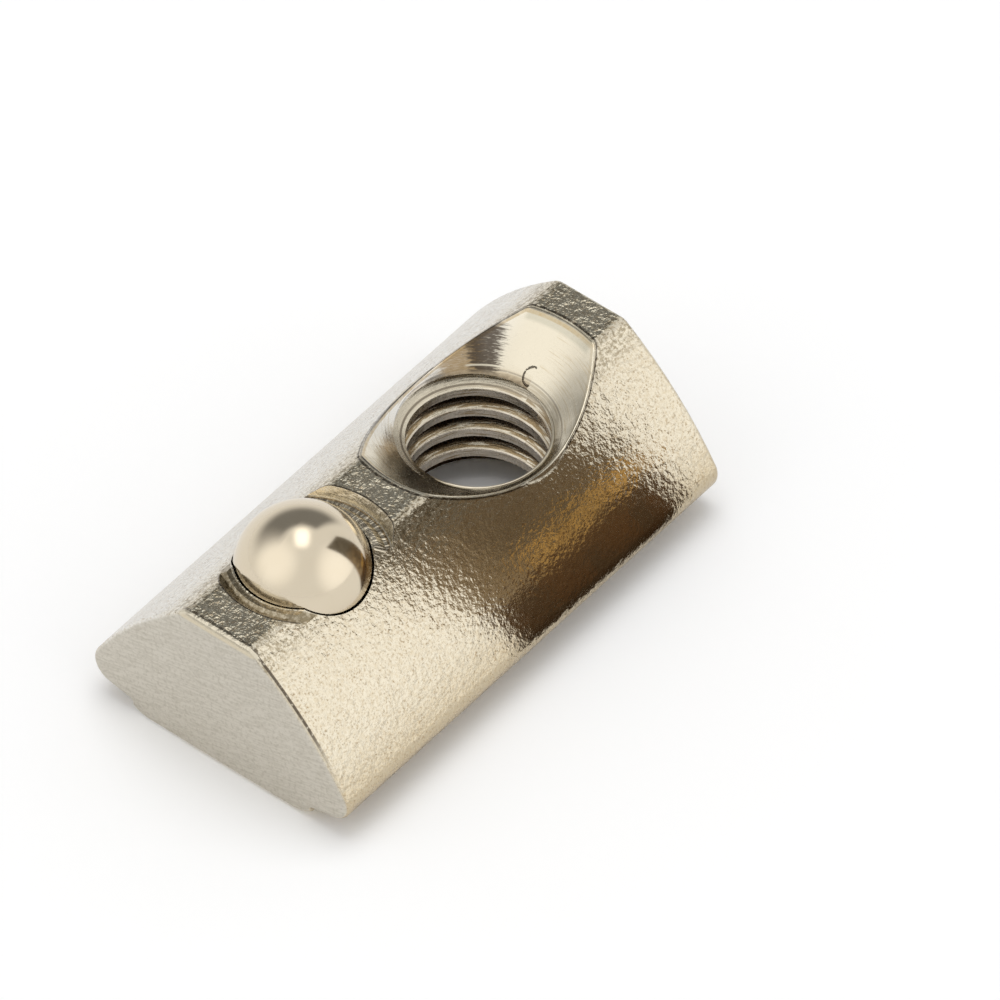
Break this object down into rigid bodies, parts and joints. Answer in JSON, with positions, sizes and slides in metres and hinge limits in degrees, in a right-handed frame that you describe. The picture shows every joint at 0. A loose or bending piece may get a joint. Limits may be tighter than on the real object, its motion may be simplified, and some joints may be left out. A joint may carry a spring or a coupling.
{
  "type": "t slot nut",
  "caption": "Roll-in T-slot nut with a domed crown, a threaded hole countersunk on both sides and a spring-loaded detent ball.",
  "frame": {"origin": "on the thread's axis, in the plane of the flat neck face that the nut lies on", "axes": "+X along the nut from the thread towards the detent ball, +Z along the thread from the neck face up to the domed crown"},
  "size_m": [0.02, 0.0112, 0.0084],
  "materials": {
    "nickel_plated_steel": "tumbled and nickel plated, warm grey",
    "polished_ball_steel": "polished",
    "spring_steel": "plain drawn wire"
  },
  "bodies": {
    "nut": {"nut_body": "nickel_plated_steel", "detent_spring": "spring_steel"},
    "ball": {"detent_ball": "polished_ball_steel"}
  },
  "joints": [
    {"name": "ball_press", "type": "slide", "parent": "nut", "child": "ball", "axis": [0, 0, 1], "range_m": [-0.0012, 0], "stiffness_N_per_m": 1500, "springref_m": 0.0011, "deforming": ["detent_spring"]}
  ]
}
